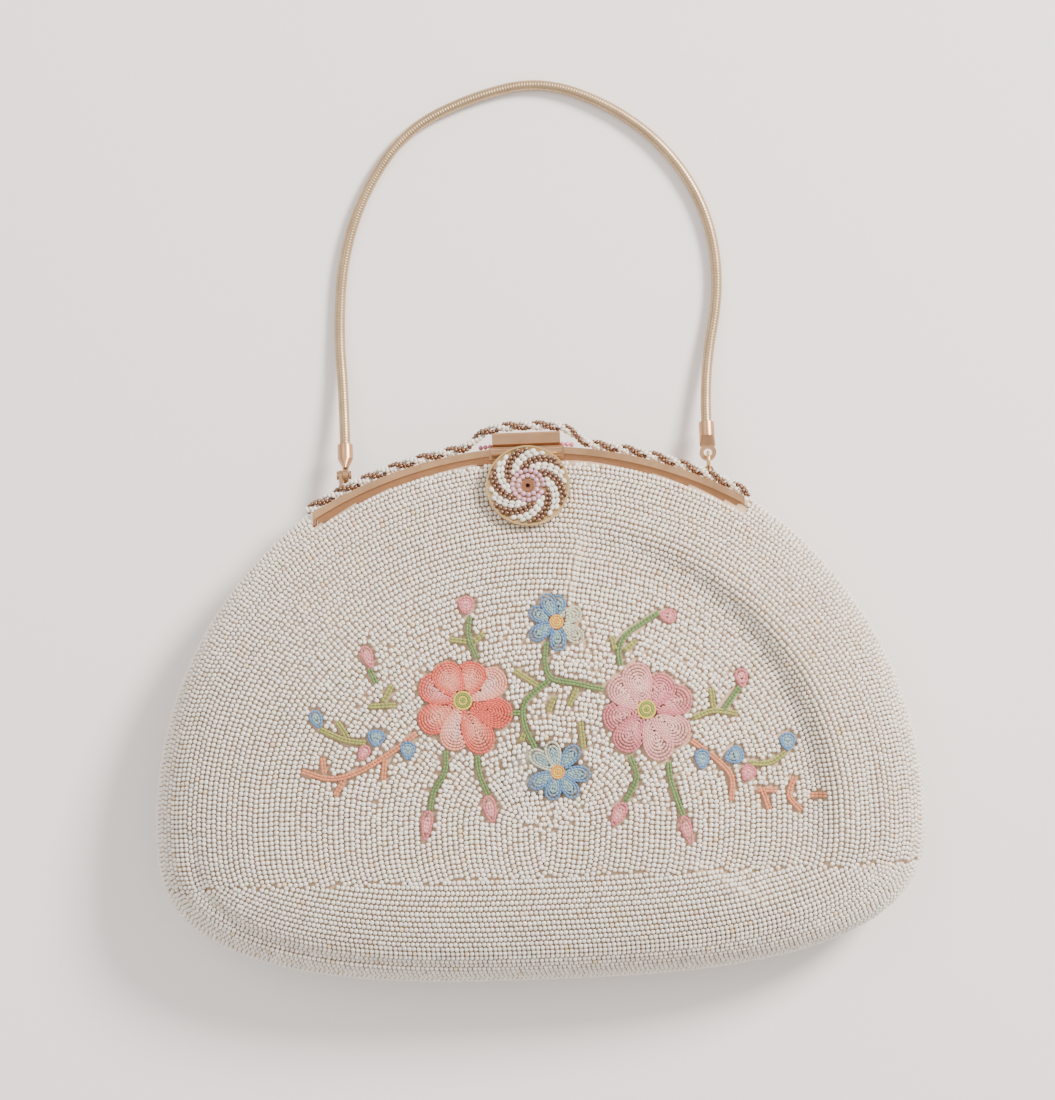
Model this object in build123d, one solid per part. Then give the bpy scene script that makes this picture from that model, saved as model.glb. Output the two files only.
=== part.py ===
from build123d import *
from math import atan2, cos, degrees, exp, hypot, pi, radians, sin, sqrt, tan
import os

# A beaded evening handbag lying on its back. Millimetres. X runs across the
# bag, Y towards the handle, Z out of the front. The floor is at Z = 0.

# Pouch outline and depth
pouch_width = 209.0
half_height = 76.2
widest_y = -34.0
shoulder_rise = 105.0
corner_squareness = 2.8
seam_height = 14.0
front_depth = 20.0
crest_share = 0.12
crest_shift = 14.0
floor_patch_share = 0.62
outline_points = 24

# Long soft fold on the right of the front
fold_depth = 6.0
fold_angle = 28.0
fold_half_sweep = 52.0
fold_share = 0.69
fold_outer_width = 0.10
fold_inner_width = 0.45

# Cloth
panel_wall = 2.0
lining_wall = 0.6
cloth_gap = 0.3

# Frame, an arch in two halves that meet at the parting plane
frame_radius = 118.0
frame_crown_y = 68.7
frame_half_sweep = 30.0
frame_depth = 4.0
frame_height = 3.9
frame_lip = 1.9
frame_wall = 0.9
band_recess = 0.8
parting_gap = 0.3
mouth_gap = 0.8

# Frame hinges at the two ends of the arch
hinge_y = 46.8
hinge_x = 57.9
lug_radius = 2.3
lug_thickness = 1.0
lug_gap = 0.2
lug_rise = 3.6
lug_reach = 8.0
rivet_diameter = 1.6
rivet_head = 3.0
rivet_head_thickness = 0.7
pin_clearance = 0.2
hinge_notch_radius = 7.2

# Twisted bead rope on the outer edge of the back half
rope_bead_diameter = 1.3
rope_strand_offset = 0.8
rope_pitch = 8.0
rope_seat_gap = 0.05
rope_lift = 4.45
rope_lift_half_width = 14.0
rope_drop = 1.5
rope_half_sweep = 30.5
rope_beads_per_turn = 6
bead_spacing = 0.35

# Clasp
knuckle_y = 67.0
knuckle_radius = 1.3
knuckle_length = 5.0
middle_knuckle_length = 8.8
knuckle_bore = 1.2
clasp_pin_diameter = 1.0
hinge_plate_width = 20.4
hinge_plate_height = 3.4
hinge_plate_thickness = 0.6
knuckle_stand = 0.2
catch_bar_width = 18.6
catch_bar_height = 3.6
catch_bar_gap = 0.35
catch_bar_front = 3.6
catch_bar_back = 3.5
leaf_thickness = 0.8
leaf_offset = 0.7
leaf_length = 15.0
clasp_tilt = 16.0
medallion_radius = 11.3
medallion_reach = 10.25
medallion_floor = 0.8
medallion_rim_height = 1.6
medallion_rim_wall = 0.45
bead_row_diameter = 1.4
bead_row_gap = 0.05
pinwheel_arms = 5
pinwheel_inner_radius = 5.7
pinwheel_outer_radius = 9.9
pinwheel_sweep = 62.0
pinwheel_beads = 6
pink_rings = ((2.7, 10), (4.2, 16))
eyelet_flange = 3.4
eyelet_bore = 1.2
eyelet_shank = 2.0

# Handle: a snake chain between two end caps
chain_diameter = 3.0
cap_diameter = 4.2
cap_length = 8.6
cap_neck = 4.6
tab_width = 4.6
tab_thickness = 1.4
tab_hole = 2.4
handle_x = 50.0
handle_pivot_y = 63.0
handle_pivot_drop = 5.5
handle_droop = 12.0
ear_radius = 1.4
ear_thickness = 1.0
ear_foot_y = 53.2
handle_ring_radius = 2.5
ring_wire = 0.8
handle_rivet_diameter = 1.2

# Embroidery, raised a little over the beads' cloth
pad_height = 0.7
pad_gap = 0.3
pad_lift = 0.3
fold_side_x = 8.0
pad_reach = 60.0
pad_samples = 24
smallest_pad = 0.3
stitch_gap = 0.15
slope_step = 0.5
stitch_spacing = 0.5
flower_middle_radius = 2.4
small_flower_middle_radius = 1.9
petal_half_width = 3.5
small_petal_half_width = 1.35
stem_width = 1.4
twig_width = 1.1

# Derived places
bottom_y = -half_height
parting_z = seam_height
arch_y = frame_crown_y - frame_radius
rope_seat = rope_bead_diameter / 2 + rope_strand_offset + rope_seat_gap
rope_z = parting_z - rope_drop
frame_inner_radius = frame_radius - frame_height
handle_pivot_z = parting_z - handle_pivot_drop
hinge_plate_top = parting_z + frame_depth + hinge_plate_thickness
knuckle_z = hinge_plate_top + knuckle_stand + knuckle_radius
frame_back_z = parting_z - frame_depth

os.makedirs("parts", exist_ok=True)


def save(name, *pieces):
    """Write one piece, or one group of like pieces, to its own file."""
    solids = [solid for piece in pieces for solid in piece.solids()]
    body = solids[0] if len(solids) == 1 else Compound(children=solids)
    body.label = name
    export_step(body, f"parts/{name}.step")


def outline_reach(angle, inset):
    """Distance from the widest level of the pouch to its outline, at an angle."""
    half_width = pouch_width / 2 - inset
    rise, power = shoulder_rise - inset, 2
    if sin(angle) < 0:
        rise, power = widest_y - bottom_y - inset, corner_squareness
    across = abs(cos(angle) / half_width) ** power
    along = abs(sin(angle) / rise) ** power
    return (across + along) ** (-1 / power)


def mouth_share(angle):
    """1 at the middle of the mouth, falling to 0 at the sides."""
    return max(0.0, sin(angle)) ** 3


def fold_dip(share, angle):
    """Depth of the long fold at a share of the way out, at an angle."""
    turn = degrees((angle + pi) % (2 * pi) - pi)
    along = (turn - fold_angle) / fold_half_sweep
    across = (share - fold_share) / (fold_outer_width if share > fold_share else fold_inner_width)
    if abs(along) >= 1 or abs(across) >= 1:
        return 0.0
    return fold_depth * sqrt(cos(along * pi / 2)) * cos(across * pi / 2) ** 2


def front_height(share, angle, inset):
    """Height of the front: full and round at the sides, a gentle rise at the mouth."""
    out = max(0.0, (share - crest_share) / (1 - crest_share))
    round_side = sqrt(max(0.0, 1 - out ** 4))
    mouth_slope = 1 - out ** 2.5
    swell = round_side + (mouth_slope - round_side) * mouth_share(angle)
    return seam_height + (front_depth - inset) * swell - fold_dip(share, angle)


def back_height(share, angle, inset):
    """Height of the back: a flat patch on the floor, rounded up to the seam."""
    out = max(0.0, (share - floor_patch_share) / (1 - floor_patch_share))
    round_side = sqrt(max(0.0, 1 - out ** 2))
    mouth_slope = 1 - out ** 1.25
    sag = round_side + (mouth_slope - round_side) * mouth_share(angle)
    return seam_height - (seam_height - inset) * sag


def pouch_ring(share, height, inset):
    """A smaller copy of the outline, lifted point by point."""
    points = []
    for step in range(outline_points):
        angle = 2 * pi * step / outline_points
        reach = share * outline_reach(angle, inset)
        middle_y = widest_y + (1 - share) * crest_shift
        points.append((reach * cos(angle), middle_y + reach * sin(angle), height(share, angle, inset)))
    return Wire([Edge.make_spline(points, periodic=True)])


def pouch_half(height, shares, inset):
    """Solid half of the pouch, from the seam plane outwards."""
    return Solid.make_loft([pouch_ring(share, height, inset) for share in shares])


front_shares = (1, 0.985, 0.95, 0.9, 0.84, 0.78, 0.72, 0.66, 0.58, 0.46, 0.32, 0.2, crest_share)
back_shares = (floor_patch_share, 0.74, 0.86, 0.95, 1)


def front_half_solid(inset):
    return pouch_half(front_height, front_shares, inset)


def back_half_solid(inset):
    return pouch_half(back_height, back_shares, inset)


def arch_point(radius, angle):
    """Point at a radius and an angle in degrees from the middle of the arch."""
    return (radius * sin(radians(angle)), arch_y + radius * cos(radians(angle)))


def arch_sector(inner, outer, half_sweep):
    """Flat sector of the frame's arch between two radii."""
    near = ThreePointArc(arch_point(inner, -half_sweep), arch_point(inner, 0), arch_point(inner, half_sweep))
    far = ThreePointArc(arch_point(outer, half_sweep), arch_point(outer, 0), arch_point(outer, -half_sweep))
    return make_face([near, Line(near @ 1, far @ 0), far, Line(far @ 1, near @ 0)])


def along_x(radius, start_x, end_x, y, z):
    """Round bar along X."""
    middle = Pos((start_x + end_x) / 2, y, z) * Rot(0, 90, 0)
    return middle * Cylinder(radius, abs(end_x - start_x))


def mouth_opening(extra):
    """What is cut from the cloth so that the frame's halves can part."""
    sector = arch_sector(frame_inner_radius - mouth_gap - extra, frame_radius + 25, frame_half_sweep + 1.5)
    opening = extrude(sector, 60)
    for side in (-1, 1):
        near_x = side * (hinge_x - lug_thickness - lug_gap / 2 - rivet_head_thickness - 0.3)
        far_x = side * (hinge_x + lug_thickness + lug_gap / 2 + rivet_head_thickness + 0.3)
        opening += along_x(hinge_notch_radius, near_x, far_x, hinge_y, parting_z)
    return opening


front_outer = front_half_solid(0)
opening = mouth_opening(0)
save("front_panel", (front_outer - front_half_solid(panel_wall)) - opening)
below_floor = Pos(0, 0, -seam_height) * Box(2 * pouch_width, 2 * pouch_width, 2 * seam_height)
save("back_panel", (back_half_solid(0) - back_half_solid(panel_wall)) - opening - below_floor)

lining_inset = panel_wall + cloth_gap
lining_opening = mouth_opening(cloth_gap)
front_lining = front_half_solid(lining_inset) - front_half_solid(lining_inset + lining_wall)
back_lining = back_half_solid(lining_inset) - back_half_solid(lining_inset + lining_wall)
save("front_lining", front_lining - lining_opening)
save("back_lining", back_lining - lining_opening)


def frame_section(side):
    """Folded section of one half of the frame: lip, recessed band and cloth slot."""
    near = parting_gap / 2
    slot_near = near + frame_wall
    band_far = frame_depth - band_recess
    slot_far = band_far - frame_wall
    root = frame_radius - frame_lip + frame_wall / 3
    profile = [
        (frame_radius, near),
        (frame_radius, frame_depth),
        (frame_radius - frame_lip, frame_depth),
        (frame_radius - frame_lip, band_far),
        (frame_inner_radius, band_far),
        (frame_inner_radius, slot_far),
        (root, slot_far),
        (root, slot_near),
        (frame_inner_radius, slot_near),
        (frame_inner_radius, near),
    ]
    placed = [(radius, 0, parting_z + side * depth) for radius, depth in profile]
    return make_face(Polyline(*placed, close=True))


def frame_arch(side):
    """One half of the frame, turned about the middle of the arch."""
    arch = revolve(frame_section(side), Axis.Z, 2 * frame_half_sweep)
    return Pos(0, arch_y, 0) * Rot(0, 0, 90 - frame_half_sweep) * arch


def hinge_lug(side, end, inner):
    """Flat ear that carries the hinge rivet below one end of the arch."""
    from_x = hinge_x - lug_gap / 2 - lug_thickness if inner else hinge_x + lug_gap / 2
    top_y = arch_point(frame_inner_radius, frame_half_sweep)[1]
    strip_top = top_y + lug_rise
    near_z = parting_z + side * parting_gap / 2
    far_z = parting_z + side * (frame_depth - band_recess)
    plane = Plane.YZ
    disc = Pos(hinge_y, parting_z) * Circle(lug_radius)
    strip = Pos((top_y + strip_top) / 2, (near_z + far_z) / 2) * Rectangle(strip_top - top_y, abs(far_z - near_z))
    outline = make_hull((disc + strip).edges())
    other_half = Pos(hinge_y + lug_radius + lug_reach / 2, near_z - side * lug_reach / 2)
    outline -= other_half * Rectangle(lug_reach, lug_reach)
    outline -= Pos(hinge_y, parting_z) * Circle(rivet_diameter / 2 + pin_clearance / 2)
    plate = plane * extrude(outline, lug_thickness)
    shift = from_x if end > 0 else -from_x - lug_thickness
    return Pos(shift, 0, 0) * plate


def hinge_rivet(end):
    """Rivet through both lugs, with a head at each end."""
    inner_face = hinge_x - lug_gap / 2 - lug_thickness
    outer_face = hinge_x + lug_gap / 2 + lug_thickness
    shank = along_x(rivet_diameter / 2, end * inner_face, end * outer_face, hinge_y, parting_z)
    inner = along_x(rivet_head / 2, end * (inner_face - rivet_head_thickness), end * inner_face, hinge_y, parting_z)
    outer = along_x(rivet_head / 2, end * outer_face, end * (outer_face + rivet_head_thickness), hinge_y, parting_z)
    return shank + inner + outer


front_frame = frame_arch(1) + hinge_lug(1, 1, False) + hinge_lug(1, -1, False)
back_frame = frame_arch(-1) + hinge_lug(-1, 1, True) + hinge_lug(-1, -1, True)
save("front_frame", front_frame)
save("back_frame", back_frame)
save("hinge_rivet_left", hinge_rivet(-1))
save("hinge_rivet_right", hinge_rivet(1))


def rope_point(angle, phase):
    """Point on one strand of the rope, which rises over the catch bar in the middle."""
    across = frame_radius * sin(radians(angle))
    lift = rope_lift * exp(-(across / rope_lift_half_width) ** 6)
    turn = 2 * pi * frame_radius * radians(angle) / rope_pitch + phase
    radius = frame_radius + rope_seat + lift + rope_strand_offset * cos(turn)
    x, y = arch_point(radius, angle)
    return (x, y, rope_z + rope_strand_offset * sin(turn))


def bead_row(points, diameter):
    """Row of short six-sided beads strung through the points, a little apart."""
    beads = []
    for start, end in zip(points, points[1:]):
        run = Vector(*end) - Vector(*start)
        first = Vector(*start) + run.normalized() * (bead_spacing / 2)
        bead_end = Plane(origin=first, z_dir=run) * RegularPolygon(diameter / 2, 6)
        beads.append(extrude(bead_end, run.length - bead_spacing))
    return beads


def rope_strand(phase):
    """One strand of beads, wound round the rope's middle line."""
    turns = 2 * frame_radius * radians(rope_half_sweep) / rope_pitch
    steps = round(turns * rope_beads_per_turn)
    angles = [rope_half_sweep * (2 * step / steps - 1) for step in range(steps + 1)]
    return bead_row([rope_point(angle, phase) for angle in angles], rope_bead_diameter)


save("rope_white_beads", *rope_strand(0))
save("rope_bronze_beads", *rope_strand(pi))


def pink_bead_row(side):
    """Short row of clear pink beads in the corner beside the clasp."""
    radius = frame_radius + rope_bead_diameter / 2 + rope_seat_gap
    starts = [catch_bar_width / 2 + 0.4 + 1.4 * step for step in range(3)]
    points = [arch_point(radius, side * degrees(start / radius)) for start in starts]
    return bead_row([(x, y, rope_z) for x, y in points], rope_bead_diameter)


save("rope_pink_beads", *pink_bead_row(-1), *pink_bead_row(1))


def catch_bar():
    """Bar on the back half that the clasp's hinge plate closes against."""
    bottom = knuckle_y + hinge_plate_height / 2 + catch_bar_gap
    top = bottom + catch_bar_height
    front = Pos(0, (bottom + top) / 2, parting_z + catch_bar_front / 2)
    bar = front * Box(catch_bar_width, catch_bar_height, catch_bar_front)
    foot_top = top - 1.0
    foot = Pos(0, (knuckle_y + foot_top) / 2, parting_z - catch_bar_back / 2)
    bar += foot * Box(catch_bar_width, foot_top - knuckle_y, catch_bar_back)
    bar = chamfer(bar.edges().filter_by(Axis.X).group_by(Axis.Z)[-1], 0.5)
    seat = Pos(0, arch_y, 0) * extrude(Circle(frame_radius), 60)
    return bar - seat


save("catch_bar", catch_bar())


def clasp_hinge_plate():
    """Plate on the front half with a knuckle at each end."""
    base_z = parting_z + frame_depth
    plate = Pos(0, knuckle_y, base_z + hinge_plate_thickness / 2)
    body = plate * Box(hinge_plate_width, hinge_plate_height, hinge_plate_thickness)
    middle = middle_knuckle_length / 2 + pin_clearance
    for side in (-1, 1):
        outer = middle + knuckle_length
        body += along_x(knuckle_radius, side * middle, side * outer, knuckle_y, knuckle_z)
        web = Pos(side * (middle + outer) / 2, knuckle_y, (hinge_plate_top + knuckle_z) / 2)
        body += web * Box(knuckle_length, knuckle_radius * 1.6, knuckle_z - hinge_plate_top)
    return body - along_x(knuckle_bore / 2, -hinge_plate_width, hinge_plate_width, knuckle_y, knuckle_z)


pin_half = middle_knuckle_length / 2 + pin_clearance + knuckle_length
save("clasp_hinge_plate", clasp_hinge_plate())
save("clasp_pin", along_x(clasp_pin_diameter / 2, -pin_half, pin_half, knuckle_y, knuckle_z))

# The clasp is drawn flat about its hinge line, then tipped to its tilt. Here
# X is the hinge line, -Y runs down the clasp and Z is out of its face.
clasp_place = Pos(0, knuckle_y, knuckle_z) * Rot(-clasp_tilt, 0, 0)
medallion_place = Pos(0, -medallion_reach, leaf_offset + leaf_thickness)


def clasp_leaf():
    """Tongue with the middle knuckle, which carries the medallion."""
    half = middle_knuckle_length / 2
    knuckle = along_x(knuckle_radius, -half, half, 0, 0)
    tongue = Pos(0, -leaf_length / 2, leaf_offset + leaf_thickness / 2)
    leaf = knuckle + tongue * Box(middle_knuckle_length, leaf_length, leaf_thickness)
    leaf -= along_x(knuckle_bore / 2, -half - 1, half + 1, 0, 0)
    hole = Pos(0, -medallion_reach, 0) * Cylinder(eyelet_shank / 2 + pin_gap, 6)
    return leaf - hole


def medallion_disc():
    """Shallow gilt dish with a turned-up rim."""
    rim = medallion_radius - medallion_rim_wall
    profile = Polyline(
        (eyelet_shank / 2 + pin_gap, 0),
        (medallion_radius - 0.6, 0),
        (medallion_radius, 0.6),
        (medallion_radius, medallion_rim_height),
        (rim, medallion_rim_height),
        (rim, medallion_floor),
        (eyelet_shank / 2 + pin_gap, medallion_floor),
        close=True,
    )
    return revolve(Plane.XZ * make_face(profile), Axis.Z)


def medallion_eyelet():
    """Copper tube through the medallion and the tongue, spread at both ends."""
    bottom = -leaf_thickness - 0.5
    profile = Polyline(
        (eyelet_bore / 2, bottom),
        (eyelet_flange / 2, bottom),
        (eyelet_flange / 2, -leaf_thickness),
        (eyelet_shank / 2, -leaf_thickness),
        (eyelet_shank / 2, medallion_floor),
        (eyelet_flange / 2, medallion_floor),
        (eyelet_flange / 2, medallion_floor + 0.5),
        (eyelet_bore / 2, medallion_floor + 0.5),
        close=True,
    )
    return revolve(Plane.XZ * make_face(profile), Axis.Z)


def pinwheel_arm(start_angle):
    """Curved row of beads that winds outwards across the medallion."""
    points = []
    for step in range(pinwheel_beads + 1):
        share = step / pinwheel_beads
        radius = pinwheel_inner_radius + (pinwheel_outer_radius - pinwheel_inner_radius) * share
        angle = radians(start_angle - pinwheel_sweep * share)
        points.append((radius * cos(angle), radius * sin(angle), row_height))
    return bead_row(points, bead_row_diameter)


def bead_ring(radius, count):
    """Closed ring of beads about the middle of the medallion."""
    angles = [2 * pi * step / count for step in range(count + 1)]
    return bead_row([(radius * cos(angle), radius * sin(angle), row_height) for angle in angles], bead_row_diameter)


pin_gap = pin_clearance / 2
row_height = medallion_floor + bead_row_gap + bead_row_diameter / 2
arm_step = 360 / pinwheel_arms
white_beads = [bead for arm in range(pinwheel_arms) for bead in pinwheel_arm(arm_step * arm)]
bronze_beads = [bead for arm in range(pinwheel_arms) for bead in pinwheel_arm(arm_step * (arm + 0.5))]
pink_beads = [bead for radius, count in pink_rings for bead in bead_ring(radius, count)]
on_medallion = clasp_place * medallion_place
save("clasp_leaf", clasp_place * clasp_leaf())
save("medallion_disc", on_medallion * medallion_disc())
save("medallion_eyelet", on_medallion * medallion_eyelet())
save("medallion_white_beads", *[on_medallion * bead for bead in white_beads])
save("medallion_bronze_beads", *[on_medallion * bead for bead in bronze_beads])
save("medallion_pink_beads", *[on_medallion * bead for bead in pink_beads])


def ear_left():
    """Upright ear on the back of the frame, for the left rivet."""
    foot = Pos((ear_foot_y + ear_foot_y + 3.6) / 2, frame_back_z - 0.5) * Rectangle(3.6, 1)
    disc = Pos(handle_pivot_y, handle_pivot_z) * Circle(ear_radius)
    outline = make_hull((foot + disc).edges())
    outline -= Pos(handle_pivot_y, handle_pivot_z) * Circle(handle_rivet_diameter / 2 + pin_gap)
    plate = Plane.YZ * extrude(outline, ear_thickness)
    return Pos(-handle_x - tab_thickness / 2 - lug_gap - ear_thickness, 0, 0) * plate


def ear_right():
    """Flat ear on the back of the frame, for the right ring."""
    hole_y = handle_pivot_y - handle_ring_radius
    foot = Pos(handle_x, ear_foot_y + 1.8) * Rectangle(3.6, 3.6)
    disc = Pos(handle_x, hole_y) * Circle(ear_radius)
    plate = extrude(make_hull((foot + disc).edges()), ear_thickness)
    ear = Pos(0, 0, handle_pivot_z - ear_thickness / 2) * plate
    step = frame_back_z - handle_pivot_z
    ear += Pos(handle_x, ear_foot_y + 1.8, handle_pivot_z + step / 2) * Box(3.6, 3.6, step)
    hole = Pos(handle_x, hole_y, handle_pivot_z) * Cylinder(ring_wire, 4 * ear_thickness)
    return ear - hole


def end_cap():
    """Cap of the chain: round socket, waisted neck and flat tab with a hole."""
    tab = extrude(Circle(tab_width / 2), tab_thickness / 2, both=True)
    flat_end = Plane.XZ.offset(-1.8) * Ellipse(tab_width / 2 - 0.1, tab_thickness / 2)
    round_end = Plane.XZ.offset(-cap_neck) * Circle(cap_diameter / 2)
    neck = loft([flat_end, round_end])
    socket = Pos(0, (cap_neck + cap_length) / 2, 0) * Rot(90, 0, 0)
    cap = tab + neck + socket * Cylinder(cap_diameter / 2, cap_length - cap_neck)
    return cap - Cylinder(tab_hole / 2, 3 * tab_thickness)


def left_rivet():
    """Rivet through the left ear and the cap's tab."""
    outer = -handle_x - tab_thickness / 2 - lug_gap - ear_thickness
    inner = -handle_x + tab_thickness / 2
    head = handle_rivet_diameter
    rivet = along_x(handle_rivet_diameter / 2, outer, inner + lug_gap, handle_pivot_y, handle_pivot_z)
    rivet += along_x(head, outer - 0.6, outer, handle_pivot_y, handle_pivot_z)
    rivet += along_x(head, inner + lug_gap, inner + lug_gap + 0.6, handle_pivot_y, handle_pivot_z)
    return rivet


droop = Rot(-handle_droop, 0, 0)
left_pivot = Pos(-handle_x, handle_pivot_y, handle_pivot_z) * droop
right_pivot = Pos(handle_x, handle_pivot_y, handle_pivot_z) * droop
save("handle_ear_left", ear_left())
save("handle_ear_right", ear_right())
save("handle_rivet", left_rivet())
save("chain_cap_left", left_pivot * Rot(0, 90, 0) * end_cap())
save("chain_cap_right", right_pivot * Pos(0, handle_ring_radius, 0) * end_cap())
ring = Pos(handle_x, handle_pivot_y, handle_pivot_z) * Rot(0, 90, 0) * Torus(handle_ring_radius, ring_wire / 2)
save("handle_ring", ring)

# The chain leaves both caps, comes down to the floor and lies there in a loop
chain_z = chain_diameter / 2


def cap_exit(x, extra):
    """Middle of a cap's open end."""
    reach = cap_length + extra
    drop = radians(handle_droop)
    return (x, handle_pivot_y + reach * cos(drop), handle_pivot_z - reach * sin(drop))


chain_route = [
    cap_exit(-handle_x, 0),
    cap_exit(-handle_x, 14.0),
    (-50.9, 103.0, chain_z + 0.1),
    (-48.9, 124.0, chain_z + 0.1),
    (-42.0, 142.5, chain_z + 0.1),
    (-30.0, 158.5, chain_z + 0.1),
    (-12.0, 166.8, chain_z + 0.1),
    (7.5, 170.9, chain_z + 0.1),
    (27.0, 163.3, chain_z + 0.1),
    (42.5, 150.6, chain_z + 0.1),
    (52.8, 133.0, chain_z + 0.1),
    (55.6, 112.0, chain_z + 0.1),
    cap_exit(handle_x, handle_ring_radius + 14.0),
    cap_exit(handle_x, handle_ring_radius),
]


def chain_radii(route):
    """Bend radius at each corner, as large as its two runs allow."""
    radii = []
    for before, corner, after in zip(route, route[1:], route[2:]):
        first = Vector(*corner) - Vector(*before)
        second = Vector(*after) - Vector(*corner)
        half_turn = radians(first.get_angle(second)) / 2
        radii.append(0.45 * min(first.length, second.length) / tan(half_turn))
    return radii


radii = chain_radii(chain_route)
chain_path = FilletPolyline(*chain_route, radius=radii)
chain_start = Plane(origin=chain_path @ 0, z_dir=chain_path % 0)
chain = sweep(chain_start * Circle(chain_diameter / 2), chain_path)
print("chain length", round(chain_path.length, 1), "radii", [round(radius) for radius in radii])
print("chain volume", round(chain.volume), "section by length", round(pi * chain_diameter ** 2 / 4 * chain_path.length))
save("chain", chain)


def front_point(x, y):
    """Point on the front of the pouch, above a place in plan."""
    share = 0.5
    for _ in range(20):
        middle_y = widest_y + (1 - share) * crest_shift
        angle = atan2(y - middle_y, x)
        share = hypot(x, y - middle_y) / outline_reach(angle, 0)
    return Vector(x, y, front_height(share, angle, 0))


def front_plane(x, y):
    """Plane that touches the front above a place."""
    here = front_point(x, y)
    ahead = front_point(x + slope_step, y) - here
    aside = front_point(x, y + slope_step) - here
    normal = ahead.cross(aside).normalized()
    return Plane(origin=here, x_dir=ahead, z_dir=normal)


def layer(plane, bottom, height):
    """Flat layer over a plane, from a bottom level upwards."""
    return plane * Pos(0, 0, bottom + height / 2) * Box(pad_reach, pad_reach, height)


def meets_front(piece):
    """True if a piece shares any space with the pouch's front."""
    shared = piece & front_outer
    return shared is not None and sum(solid.volume for solid in shared.solids()) > 0


def pads(drawing):
    """Each patch of a drawing in plan, laid as a flat pad just clear of the front below it."""
    pieces = []
    for patch in drawing.faces():
        middle = patch.center()
        plane = front_plane(middle.X, middle.Y)
        places = [patch.outer_wire() @ (step / pad_samples) for step in range(pad_samples)]
        places += [(place + middle) / 2 for place in places]
        rise = max(0, *(plane.to_local_coords(front_point(place.X, place.Y)).Z for place in places))
        column = extrude(Pos(0, 0, seam_height) * patch, 2 * front_depth)
        while middle.X > fold_side_x and meets_front(column & layer(plane, rise, pad_gap)):
            rise += pad_lift
        pieces += (column & layer(plane, rise + pad_gap, pad_height)).solids()
    return pieces


def petals(middle, half_width, tips, extra):
    """Long rounded petals round a middle, each given by its angle and reach."""
    drawings = []
    for angle, reach in tips:
        place = Pos(*middle) * Rot(0, 0, angle) * Pos(reach * 0.53, 0)
        drawings.append(place * Ellipse(reach * 0.47 + extra, half_width + extra))
    return drawings


def middles(places, radius, extra):
    """Round stitched middles of flowers."""
    return [Pos(*place) * Circle(radius + extra) for place in places]


def buds(places, extra):
    """Closed buds or small leaves, each pointed along an angle."""
    drawings = []
    for x, y, angle, length, width in places:
        drawings.append(Pos(x, y) * Rot(0, 0, angle) * Ellipse(length / 2 + extra, width / 2 + extra))
    return drawings


def stitches(width, lines, extra):
    """Stitched lines through a few points each, one flat stitch per run."""
    runs = [pair for line in lines for pair in zip(line, line[1:])]
    drawings = []
    for (start_x, start_y), (end_x, end_y) in runs:
        angle = degrees(atan2(end_y - start_y, end_x - start_x))
        length = hypot(end_x - start_x, end_y - start_y) - stitch_spacing + 2 * extra
        place = Pos((start_x + end_x) / 2, (start_y + end_y) / 2) * Rot(0, 0, angle)
        drawings.append(place * Rectangle(length, width + 2 * extra))
    return drawings


coral_middle = (-19.6, 0.9)
pink_middle = (29.3, -3.4)
upper_blue_middle = (6.2, 20.9)
lower_blue_middle = (5.0, -19.1)
coral_tips = (
    (121, 11.8), (155, 12.7), (68, 11.0), (30, 13.5), (-22, 14.3), (-68, 15.6), (-105, 13.9), (-150, 13.7))
pink_tips = (
    (105, 13.1), (139, 12.6), (53, 10.9), (14, 13.0), (-38, 14.0), (-73, 14.6), (-126, 13.2), (-168, 12.1))
upper_blue_tips = ((111, 8.2), (155, 7.9), (-150, 8.3), (-88, 7.9), (-38, 8.8), (22, 7.2), (83, 7.2))
lower_blue_tips = ((101, 8.6), (50, 8.9), (-7, 9.0), (-55, 8.5), (-106, 7.8), (-156, 8.5), (141, 9.5))

pink_buds = (
    (-17.8, 26.2, 90, 5.0, 3.8),
    (-44.6, 13.4, 108, 6.4, 2.6),
    (-46.6, -12.0, 60, 4.4, 2.6),
    (-30.5, -32.0, 80, 8.6, 2.6),
    (-13.4, -28.4, 100, 8.0, 3.0),
    (36.2, 21.2, -10, 4.6, 3.4),
    (55.4, 3.8, 95, 5.2, 3.0),
    (20.8, -31.0, 60, 7.4, 3.2),
    (38.9, -36.0, 105, 8.4, 2.6),
    (56.0, -21.6, 60, 4.6, 3.6),
)
teal_buds = (
    (-58.9, -2.7, 110, 5.2, 3.0),
    (-43.1, -8.2, 80, 4.6, 4.4),
    (-34.8, -11.8, 90, 5.2, 3.6),
    (43.7, -17.3, 90, 5.6, 3.6),
    (52.4, -16.8, 20, 5.6, 4.4),
    (67.2, -13.8, 90, 5.0, 4.0),
)
green_stems = (
    ((-17.0, 23.0), (-17.4, 18.0), (-15.4, 12.0)),
    ((3.3, 15.6), (2.8, 10.0), (4.4, 6.0), (10.8, 4.3), (18.0, 2.4)),
    ((4.4, 6.0), (-2.7, 0.2), (-3.4, -5.9), (-0.8, -12.4)),
    ((-8.4, -2.9), (-3.3, -2.9)),
    ((-24.6, -12.4), (-25.2, -18.0), (-28.2, -23.0), (-29.4, -28.0)),
    ((-16.4, -14.0), (-15.8, -19.0), (-13.8, -24.4)),
    ((22.8, 8.6), (22.7, 13.0), (25.4, 17.2), (33.8, 22.2)),
    ((24.5, -15.6), (26.0, -21.4), (22.8, -27.6)),
    ((34.6, -17.6), (35.2, -23.0), (38.0, -32.0)),
    ((50.0, -4.6), (54.8, 1.4)),
    ((-44.2, 10.2), (-42.6, 6.4)),
)
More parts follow.
